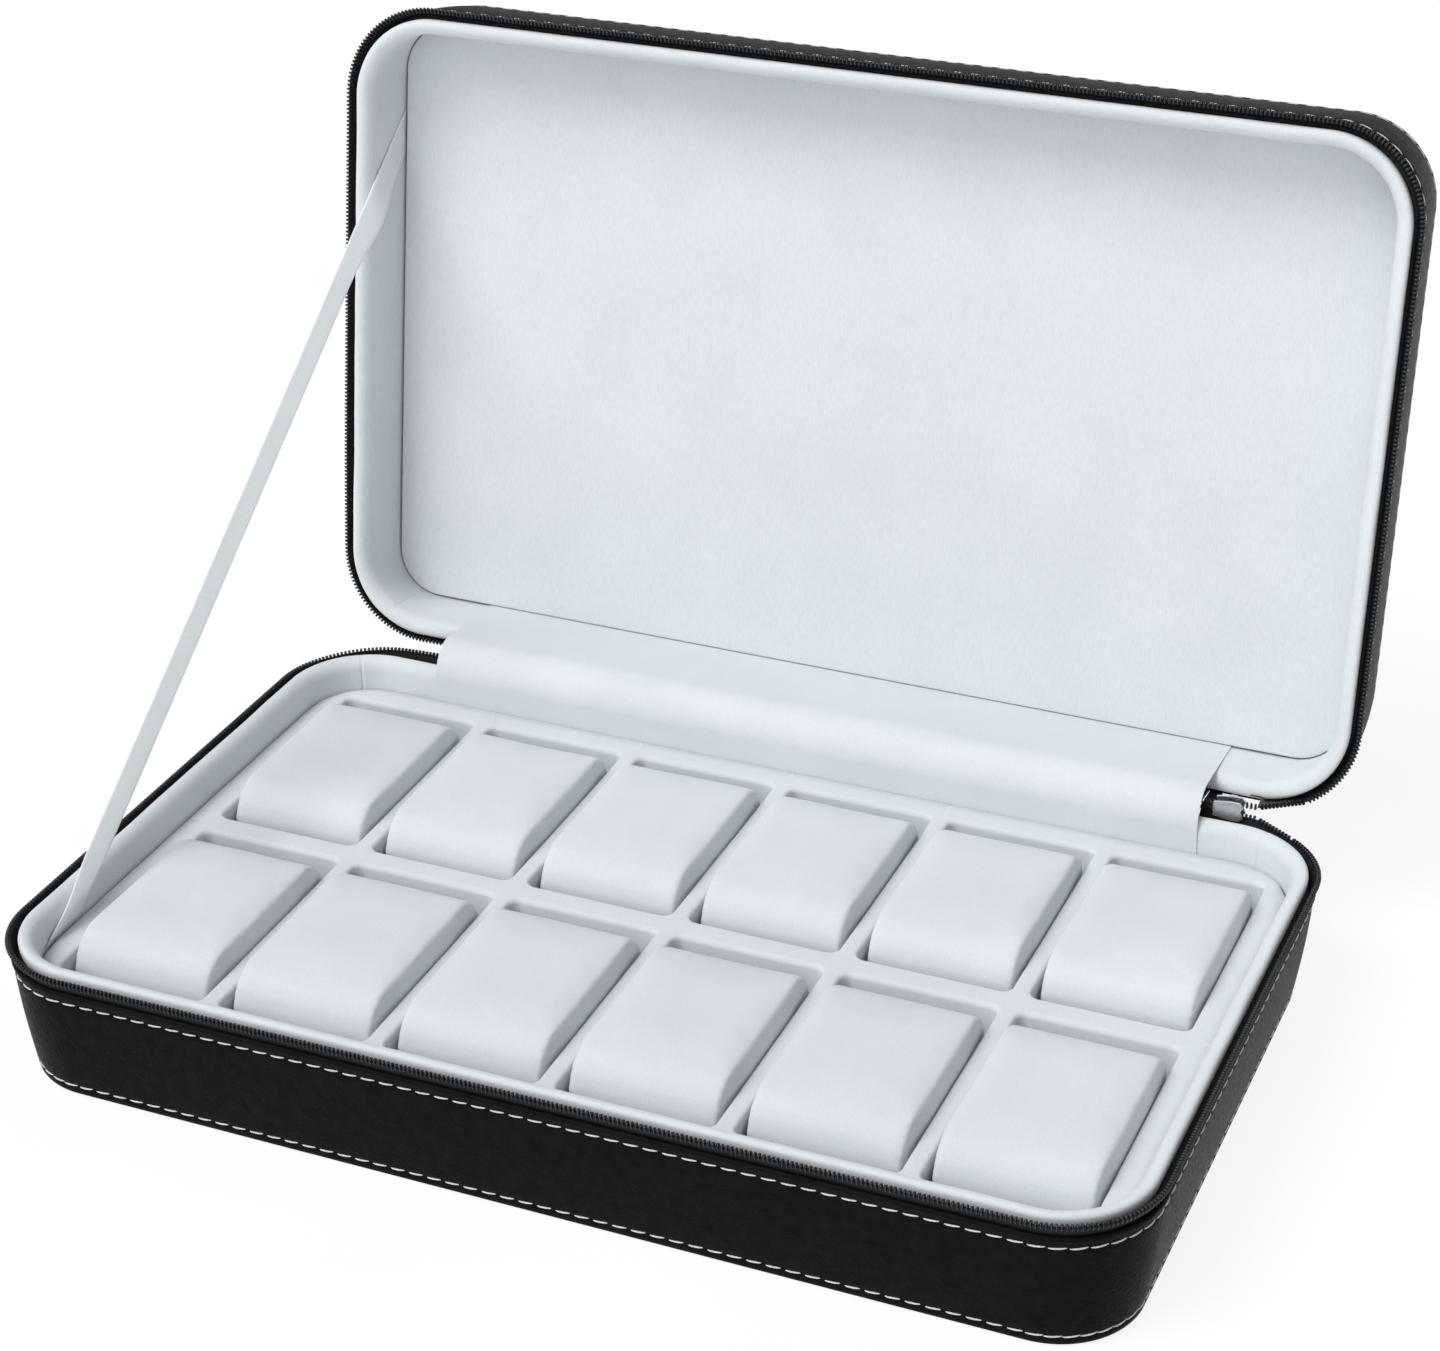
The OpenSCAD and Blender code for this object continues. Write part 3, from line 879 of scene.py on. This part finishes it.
def round_rect(w, d, r, per_side, per_corner):
    """A rounded rectangle's points with their outward directions, anticlockwise, centred."""
    made = []
    for k in range(4):
        sx, sy = SIGNS[k]
        cx, cy = sx * (w / 2 - r), sy * (d / 2 - r)
        for i in range(per_corner + 1):
            a = math.pi / 2 * (k + i / per_corner)
            n = (math.cos(a), math.sin(a))
            made.append((cx + r * n[0], cy + r * n[1], *n))
        nx, ny = made[-1][2:]
        sx, sy = SIGNS[(k + 1) % 4]
        bx, by = sx * (w / 2 - r) + r * nx, sy * (d / 2 - r) + r * ny
        ax, ay = made[-1][:2]
        for i in range(1, per_side):
            f = i / per_side
            made.append((ax + (bx - ax) * f, ay + (by - ay) * f, nx, ny))
    return made


def square_rect(w, d, r, per_side, per_corner):
    """Where round_rect's points lie if its corners are not rounded."""
    made = []
    for k in range(4):
        sx, sy = SIGNS[k]
        corner = (sx * w / 2, sy * d / 2)
        ends = [(sx * w / 2, sy * (d / 2 - r)), (sx * (w / 2 - r), sy * d / 2)]
        if k % 2:
            ends.reverse()
        for i in range(per_corner + 1):
            f = 2 * i / per_corner
            a, b, f = (ends[0], corner, f) if f <= 1 else (corner, ends[1], f - 1)
            made.append((a[0] + (b[0] - a[0]) * f, a[1] + (b[1] - a[1]) * f))
        sx, sy = SIGNS[(k + 1) % 4]
        far = (sx * (w / 2 - r), sy * d / 2) if k % 2 == 0 else (sx * w / 2, sy * (d / 2 - r))
        for i in range(1, per_side):
            f = i / per_side
            made.append((
                ends[1][0] + (far[0] - ends[1][0]) * f, ends[1][1] + (far[1] - ends[1][1]) * f
            ))
    return made


def inside_outline(x, y, inset):
    """Moves a point that lies past the tray's round corner onto it."""
    r = CORNER_R - inset
    dx, dy = abs(x) - FLAT_X, abs(y) - FLAT_Y
    if dx <= 0 or dy <= 0 or math.hypot(dx, dy) <= r:
        return x, y
    k = r / math.hypot(dx, dy)
    return math.copysign(FLAT_X + dx * k, x), math.copysign(FLAT_Y + dy * k, y)


REAR_ROUND = 0.6 * MM
POCKET_FILLET = 1.1 * MM
TRAY_EDGE_W, TRAY_EDGE_DROP = 1.1 * MM, 1.8 * MM


def tray():
    """The flocked tray: twelve pockets with softly rounded rims in one skin."""
    inset = WALL_INSET + 0.3 * MM
    steps = 6
    grid = (POCKET_W, POCKET_L, POCKET_R, 10, 8)
    pocket, square = round_rect(*grid), square_rect(*grid)
    size = len(pocket)
    edge_x, edge_y = HALF_W - inset, HALF_D - inset
    points, faces = [], []
    for row in (-1, 1):
        for i in range(COLUMNS):
            cx = (i - (COLUMNS - 1) / 2) * COLUMN_PITCH
            cy = row * (ROW_WALL + POCKET_L) / 2
            left = -edge_x if i == 0 else cx - COLUMN_PITCH / 2
            right = edge_x if i == COLUMNS - 1 else cx + COLUMN_PITCH / 2
            low, high = (-edge_y, 0.0) if row < 0 else (0.0, edge_y)
            rings = [[(x, y, z) for x, y, nx, ny in pocket]
                     for z in (TRAY_FLOOR + 0.2 * MM, TRAY_TOP - 8 * MM)]
            for k in range(steps + 1):
                a = math.pi / 2 * k / steps
                ring = []
                for x, y, nx, ny in pocket:
                    soft = POCKET_FILLET + REAR_ROUND * max(0.0, ny) ** 2
                    out, fall = soft * (1 - math.cos(a)), soft * (1 - math.sin(a))
                    ring.append((x + nx * out, y + ny * out, TRAY_TOP - fall))
                rings.append(ring)
            rings = [[(cx + x, cy + y, z) for x, y, z in ring] for ring in rings]
            border = []
            for x, y in square:
                fx, fy = x / (POCKET_W / 2), y / (POCKET_L / 2)
                border.append(inside_outline(
                    cx + fx * ((right - cx) if fx > 0 else (cx - left)),
                    cy + fy * ((high - cy) if fy > 0 else (cy - low)),
                    inset,
                ))
            for back in (None, 0.8 * MM, 0.25 * MM, 0.0):
                ring = []
                for (ax, ay, _), (bx, by) in zip(rings[steps + 2], border):
                    f = 0.5 if back is None else 1 - back / math.dist((ax, ay), (bx, by))
                    x, y = ax + (bx - ax) * f, ay + (by - ay) * f
                    ring.append((x, y, TRAY_TOP - tray_edge_drop(x, y, inset)))
                rings.append(ring)
            first = len(points)
            points += [p for ring in rings for p in ring]
            made = tube_faces(len(rings), size, False, caps=False)
            faces += [tuple(first + v for v in f) for f in made]
            faces.append(tuple(first + k for k in range(size)))
    made = make_object("tray_velvet", points, faces, sharp=70)
    rework(
        made.data,
        lambda work: bmesh.ops.remove_doubles(work, verts=work.verts, dist=0.05 * MM),
    )
    for v in made.data.vertices:
        if v.co.z > TRAY_TOP - POCKET_FILLET:
            v.co.z += 0.12 * MM * wander(v.co.x, v.co.y, 0, 22 * MM)
    solid = made.modifiers.new("thickness", "SOLIDIFY")
    solid.thickness = 0.8 * MM
    solid.offset = -1
    return dress(made, VELVET, "velvet_grey", "base", "tray_insert")


def tray_edge_drop(x, y, inset):
    """How far the tray's face rolls down beside the lining."""
    r = CORNER_R - inset
    dx, dy = abs(x) - FLAT_X, abs(y) - FLAT_Y
    from_edge = r - (math.hypot(dx, dy) if dx > 0 and dy > 0 else max(dx, dy))
    near = max(0.0, 1 - from_edge / TRAY_EDGE_W)
    return TRAY_EDGE_DROP * near * near


tray()


# ---- Pillows ----

PILLOW_LOW, PILLOW_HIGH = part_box("pillow_cover_front_1")
PILLOW_VOXEL = 1.5 * MM
PILLOW_SHORT = 1.5 * MM
PILLOW_TOP_R, PILLOW_FOOT_R, PILLOW_SIDE_R = 12 * MM, 9 * MM, 1 * MM


def bar_profile(length, height, top_r, foot_r, steps=8):
    """The pillow's side view, y against z, from the front foot over the top and back."""
    corners = [
        (-length / 2 + foot_r, foot_r, foot_r, 180),
        (length / 2 - foot_r, foot_r, foot_r, 270),
        (length / 2 - top_r, height - top_r, top_r, 0),
        (-length / 2 + top_r, height - top_r, top_r, 90),
    ]
    loop = []
    for y, z, r, start in corners:
        for k in range(steps + 1):
            a = math.radians(start + 90 * k / steps)
            loop.append((y + r * math.cos(a), z + r * math.sin(a)))
    return loop


def pillow_shape():
    """The stuffed form before it is blown up: a bar with round ends and soft side edges."""
    width, length, height = PILLOW_HIGH - PILLOW_LOW
    loop = bar_profile(length, height, PILLOW_TOP_R, PILLOW_FOOT_R)
    rings = []
    for k in range(1, 7):
        a = math.pi / 2 * k / 6
        rings.append((
            PILLOW_SIDE_R * (1 - math.cos(a)) - width / 2, PILLOW_SIDE_R * (1 - math.sin(a))
        ))
    rings += [(-x, d) for x, d in reversed(rings)]
    points = []
    for x, d in rings:
        for y, z in loop:
            flat = 1 - 2 * d / height
            points.append((x, y * (1 - 2 * d / length), height / 2 + (z - height / 2) * flat))
    return points, tube_faces(len(rings), len(loop), False)


CLOTH = {
    "quality": 5,
    "mass": 0.2,
    "tension_stiffness": 30,
    "compression_stiffness": 30,
    "bending_stiffness": 2,
    "use_pressure": True,
}


def remesh(made, voxel):
    modifier = made.modifiers.new("remesh", "REMESH")
    modifier.mode = "VOXEL"
    modifier.voxel_size = voxel
    apply_modifiers(made)


def blow_up(made, voxel, frames, pressure, cap):
    """Remeshes a closed form and lets cloth under pressure round it. No point moves past cap."""
    remesh(made, voxel)
    start = np.array([v.co for v in made.data.vertices], float)
    cloth = made.modifiers.new("cloth", "CLOTH")
    for key, value in CLOTH.items():
        setattr(cloth.settings, key, value)
    cloth.settings.uniform_pressure_force = pressure
    cloth.settings.effector_weights.gravity = 0
    cloth.point_cache.frame_start = 1
    cloth.point_cache.frame_end = frames
    scene = bpy.context.scene
    for f in range(1, frames + 1):
        scene.frame_set(f)
    shown = made.evaluated_get(bpy.context.evaluated_depsgraph_get())
    moved = np.array([v.co for v in shown.data.vertices], float)
    made.modifiers.clear()
    scene.frame_set(1)
    shift = moved - start
    reach = np.linalg.norm(shift, axis=1, keepdims=True)
    shift *= np.minimum(1, cap / np.maximum(reach, 1e-9))
    made.data.vertices.foreach_set("co", (start + shift).astype(np.float32).ravel())
    made.data.update()


def apply_modifiers(made):
    """Replaces the object's mesh by what its modifiers make of it."""
    shown = made.evaluated_get(bpy.context.evaluated_depsgraph_get())
    mesh = bpy.data.meshes.new_from_object(shown)
    made.modifiers.clear()
    made.data = mesh


def pillow_template():
    """One stuffed pillow, standing on z = 0 and centred in plan."""
    points, faces = pillow_shape()
    made = make_object("pillow_form", points, faces)
    bpy.context.view_layer.update()
    blow_up(made, PILLOW_VOXEL, 14, 4.0, 0.8 * MM)
    smooth = made.modifiers.new("smooth", "CORRECTIVE_SMOOTH")
    smooth.iterations = 1
    smooth.use_only_smooth = True
    made.modifiers.new("finer", "SUBSURF").levels = 1
    apply_modifiers(made)
    co = np.array([v.co for v in made.data.vertices], float)
    low, high = co.min(0), co.max(0)
    size = np.array(PILLOW_HIGH - PILLOW_LOW) - [0, PILLOW_SHORT, 0]
    co = (co - (low + high) / 2) / (high - low) * size + [0, 0, size[2] / 2]
    mesh = made.data
    bpy.data.objects.remove(made)
    return mesh, co


def pillows():
    mesh, rest = pillow_template()
    height = PILLOW_HIGH.z - PILLOW_LOW.z
    for r, row in enumerate(("front", "rear")):
        for i in range(1, COLUMNS + 1):
            seed = 3.7 * i + 29.1 * r
            low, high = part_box(f"pillow_cover_{row}_{i}")
            centre = (low + high) / 2
            own = mesh.copy()
            own.name = f"pillow_{row}_{i}_velvet"
            co = rest.copy()
            for v in co:
                share = max(0.0, v[2] / height) * (1 - abs(v[0]) / (POCKET_W / 2)) ** 0.5
                v[2] += share * (0.5 * wander(v[0], v[1], v[2], 26 * MM, seed) - 0.15) * MM
            co += [centre.x, centre.y - PILLOW_SHORT / 2, low.z]
            own.vertices.foreach_set("co", co.astype(np.float32).ravel())
            own.shade_smooth()
            made = bpy.data.objects.new(own.name, own)
            bpy.context.scene.collection.objects.link(made)
            nodes = [f"pillow_{part}_{row}_{i}" for part in ("cover", "core")]
            dress(made, VELVET, "velvet_grey", f"pillow_{row}_{i}", *nodes)


pillows()


# ---- Lid panel ----

PANEL_ROLL = [
    # how far in from the panel's edge and how deep behind its face, in millimetres
    (0.0, 5.0), (0.0, 0.8), (0.05, 0.42), (0.16, 0.18),
    (0.35, 0.05), (0.8, 0.0), (3.0, -0.05), (8.0, -0.15),
]


def lid_panel():
    """The padded panel: its edge rolls down into the seam, and its face is slightly crowned."""
    inset = WALL_INSET + PANEL_GAP
    w, d = 2 * (HALF_W - inset), 2 * (HALF_D - inset)
    edge = round_rect(w, d, PANEL_CORNER_R, 40, 10)
    rings = [[(x, y, PANEL_Z + 11 * MM) for x, y, nx, ny in edge]]
    for inward, deep in PANEL_ROLL:
        rings.append([
            (x - nx * inward * MM, y - ny * inward * MM, PANEL_Z + deep * MM)
            for x, y, nx, ny in edge
        ])
    outer = rings[-1]
    for f in (0.9, 0.78, 0.64, 0.48, 0.3, 0.12):
        rings.append([
            (x * f, y * f, z - 0.35 * MM * (1 - f) + 0.2 * MM * wander(x * f, y * f, 0, 60 * MM))
            for x, y, z in outer
        ])
    points = [p for ring in rings for p in ring]
    faces = tube_faces(len(rings), len(edge), False)
    made = make_object("lid_panel_velvet", swing(points), faces, sharp=80)
    dress(made, NAP, "velvet_grey", "lid", "lid_padded_panel")


lid_panel()


# ---- Hinge: velvet flap inside, leather spine outside ----

def bent_path(y_base, z_base, y_lid, z_lid, bend_r, steps=14):
    """(y, z) up from the base, round the bend and on to the open lid."""
    c, n = math.cos(OPEN_ANGLE), math.sin(OPEN_ANGLE)
    reach = (y_base - HINGE_Y - (y_lid - HINGE_Y) * c) / n
    corner = swing([(0, y_lid, HINGE_Z + reach)])[0]
    mid = (y_base + bend_r, corner[2] - bend_r * math.tan(OPEN_ANGLE / 2))
    end = swing([(0, y_lid, z_lid)])[0]
    path = [(y_base, z_base + (mid[1] - z_base) * k / 6) for k in range(6)]
    for k in range(steps + 1):
        a = math.pi - OPEN_ANGLE * k / steps
        path.append((mid[0] + bend_r * math.cos(a), mid[1] + bend_r * math.sin(a)))
    last = path[-1]
    path += [
        (last[0] + (end[1] - last[0]) * k / 8, last[1] + (end[2] - last[1]) * k / 8)
        for k in range(1, 9)
    ]
    return path


def path_length(path):
    return sum(math.dist(a, b) for a, b in zip(path, path[1:]))


def cloth(name, points, grid, columns, thickness):
    """Cloth through rows of points. grid says where each point is on the flat cloth."""
    faces = []
    for a in range(len(points) - columns - 2):
        if (a + 1) % (columns + 1):
            faces.append((a, a + 1, a + columns + 2, a + columns + 1))
    made = make_object(name, points, faces, [grid[v] for f in faces for v in f], sharp=80)
    solid = made.modifiers.new("thickness", "SOLIDIFY")
    solid.thickness = thickness
    solid.offset = 0
    apply_modifiers(made)
    return made


def strip(name, path, half, thickness, columns, lift, lean=0.0):
    """A strip across the hinge. lift(x, f) is its waviness, and its foot is lean to the right."""
    total = path_length(path)
    rows = len(path)
    points, grid = [], []
    run = 0.0
    for j, (y, z) in enumerate(path):
        before, after = path[max(0, j - 1)], path[min(rows - 1, j + 1)]
        if j:
            run += math.dist(path[j - 1], path[j])
        t = Vector((after[0] - before[0], after[1] - before[1])).normalized()
        n = (-t.y, t.x)
        for i in range(columns + 1):
            x = -half + 2 * half * i / columns
            off = lift(x, run / total)
            points.append((x + lean * (1 - run / total), y + n[0] * off, z + n[1] * off))
            grid.append((x, run))
    made = cloth(name, points, grid, columns, thickness)
    made.data.set_sharp_from_angle(angle=math.radians(50))
    return made, total


FLAP_IN, FLAP_T, FLAP_BEND_R, FLAP_LEAN = 0.3 * MM, 0.5 * MM, 9.5 * MM, 2 * MM
SPINE_HALF, SPINE_T, SPINE_BEND_R = HINGE_HALF - 1 * MM, 1 * MM, 3 * MM


def flap_wave(x, f):
    return math.sin(math.pi * f) * (0.4 * MM * wander(x, 0, 0, 40 * MM, 5.0) + 0.1 * MM)


def hinge():
    """The flap and the spine, which bend between the base and the lid."""
    y = HALF_D - WALL_INSET - FLAP_IN
    foot, head = TRAY_TOP - 0.5 * MM, PANEL_Z + 0.4 * MM
    path = bent_path(y, foot, y - 0.15 * MM, head, FLAP_BEND_R)
    flap = strip("hinge_flap_velvet", path, HINGE_HALF, FLAP_T, 60, flap_wave, FLAP_LEAN)
    under = ["tray_velvet", "lid_panel_velvet"]
    inner = (y, flap, HINGE_HALF, VELVET, "velvet_grey", "hinge_flap", under)
    y = HALF_D - LEATHER_T / 2
    path = bent_path(y, BASE_H - 1 * MM, y, LID_Z + 0.6 * MM, SPINE_BEND_R)
    spine = strip("hinge_spine_leather", path, SPINE_HALF, SPINE_T, 40, lambda x, f: 0.0)
    under = ["base_leather", "lid_leather"]
    outer = (y, spine, SPINE_HALF, LEATHER, "leather_black", "hinge_spine", under)
    for y, (made, length), half, material, slot, node, under in (inner, outer):
        dress(made, material, slot, None, node)
        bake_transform(made)


hinge()


# ---- Ribbon ----

def ribbon():
    """A satin ribbon in the plane of the left wall, from the tray's edge to the lid's panel."""
    foot = Vector((-57.5 * MM, TRAY_TOP + 0.1 * MM))
    head = Vector(swing([(0, -50 * MM, PANEL_Z)])[0][1:])
    up_panel = Vector(swing([(0, -51 * MM, PANEL_Z)])[0][1:]) - head
    up_panel.normalize()
    run = (head - foot).normalized()
    foot_high = foot - Vector((RIBBON_W / run.y, 0))
    head_high = head + up_panel * (RIBBON_W / run.cross(up_panel))
    columns, rows = 8, 90
    points, grid = [], []
    for j in range(rows + 1):
        f = j / rows
        low, high = foot.lerp(head, f), foot_high.lerp(head_high, f)
        for i in range(columns + 1):
            g = i / columns
            at = low.lerp(high, g)
            at.y -= 0.5 * MM * math.sin(math.pi * f)
            twist = 2.2 * MM * math.exp(-(((f - 0.9) / 0.045) ** 2)) * (1 - g) ** 2
            stand = 1.1 * MM * math.exp(-(((f - 0.045) / 0.035) ** 2)) * g ** 2
            ripple = 0.25 * MM * math.sin(math.pi * f) * (1 - (2 * g - 1) ** 2)
            points.append((RIBBON_X + 0.3 * MM + twist + stand + ripple, at.x, at.y))
            grid.append((RIBBON_W * g, (head - foot).length * f))
    made = cloth("support_ribbon_satin", points, grid, columns, 0.3 * MM)
    dress(made, SATIN, "satin_ribbon", None, "support_ribbon")
    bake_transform(made)


ribbon()


# ---- CAD nodes whose shape is right ----

def keep(node, material, bevel=0.0):
    """A CAD node that stays, with its material and, on small metal, softened edges."""
    kept = frame["nodes"][node]
    kept.data.materials.clear()
    kept.data.materials.append(material)
    if bevel:
        soft = kept.modifiers.new("soft_edges", "BEVEL")
        soft.width = bevel
        soft.segments = 2
        soft.limit_method = "ANGLE"
        soft.angle_limit = math.radians(35)


keep("zip_slider", NICKEL, 0.18 * MM)
keep("zip_pull", NICKEL, 0.2 * MM)
keep("base_bottom_panel", LEATHER, 0.3 * MM)
for hidden_board in ("base_board_shell", "lid_board_shell", "tray_floor_board"):
    keep(hidden_board, BOARD)


# ---- Stage ----

CAMERA_AT = (0.3094, -0.6914, 0.5155)
CAMERA_AZIMUTH, CAMERA_ELEVATION, CAMERA_ROLL = 23.08, 28.3, -0.46
CAMERA_LENS, CAMERA_SENSOR = 82.16, 36


def camera():
    """A studio view from the front and right, above the case."""
    azimuth, elevation, roll = (
        math.radians(a) for a in (CAMERA_AZIMUTH, CAMERA_ELEVATION, CAMERA_ROLL)
    )
    data = bpy.data.cameras.new("camera")
    data.lens = CAMERA_LENS
    data.sensor_width = CAMERA_SENSOR
    data.clip_start, data.clip_end = 0.05, 20
    made = bpy.data.objects.new("camera", data)
    made.matrix_world = (
        Matrix.Translation(CAMERA_AT)
        @ Matrix.Rotation(azimuth, 4, "Z")
        @ Matrix.Rotation(math.pi / 2 - elevation, 4, "X")
        @ Matrix.Rotation(roll, 4, "Z")
    )
    bpy.context.scene.collection.objects.link(made)
    bpy.context.scene.camera = made


def studio_light(name, kind, place, strength, **settings):
    """A light at a place, turned towards the case."""
    data = bpy.data.lights.new(name, kind)
    data.energy = strength
    for key, value in settings.items():
        setattr(data, key, value)
    made = bpy.data.objects.new(name, data)
    made.location = place
    made.rotation_mode = "QUATERNION"
    made.rotation_quaternion = (Vector((0, 0, 0.05)) - Vector(place)).to_track_quat("-Z", "Y")
    bpy.context.scene.collection.objects.link(made)


def floor():
    size = 4.0
    points = [(-size, -size, 0), (size, -size, 0), (size, size, 0), (-size, size, 0)]
    made = make_object("floor", [(x, y, -0.2 * MM) for x, y, z in points], [(0, 1, 2, 3)])
    look = Look(
        "floor",
        0.9,
        Specular_IOR_Level=0.1,
        Emission_Color=(1.0, 1.0, 1.0, 1.0),
        Emission_Strength=0.86,
    )
    look.colour(look.ramp(look.noise(6.0, 2.0), (0.13, 0.13, 0.13), (0.16, 0.16, 0.16)))
    made.data.materials.append(look.material)


def studio():
    camera()
    floor()
    world = bpy.data.worlds.new("studio")
    world.use_nodes = True
    world.node_tree.nodes["Background"].inputs["Color"].default_value = (1, 1, 1, 1)
    world.node_tree.nodes["Background"].inputs["Strength"].default_value = 0.36
    bpy.context.scene.world = world
    bpy.context.scene.view_settings.view_transform = "Standard"
    studio_light("key", "SUN", (-0.75, -0.9, 1.6), 2.2, angle=math.radians(35))
    studio_light("front", "SUN", (0.05, -1.0, 0.4), 0.72, angle=math.radians(55))
    studio_light("back", "AREA", (0.5, 1.2, 1.0), 4, shape="DISK", size=0.8)


studio()
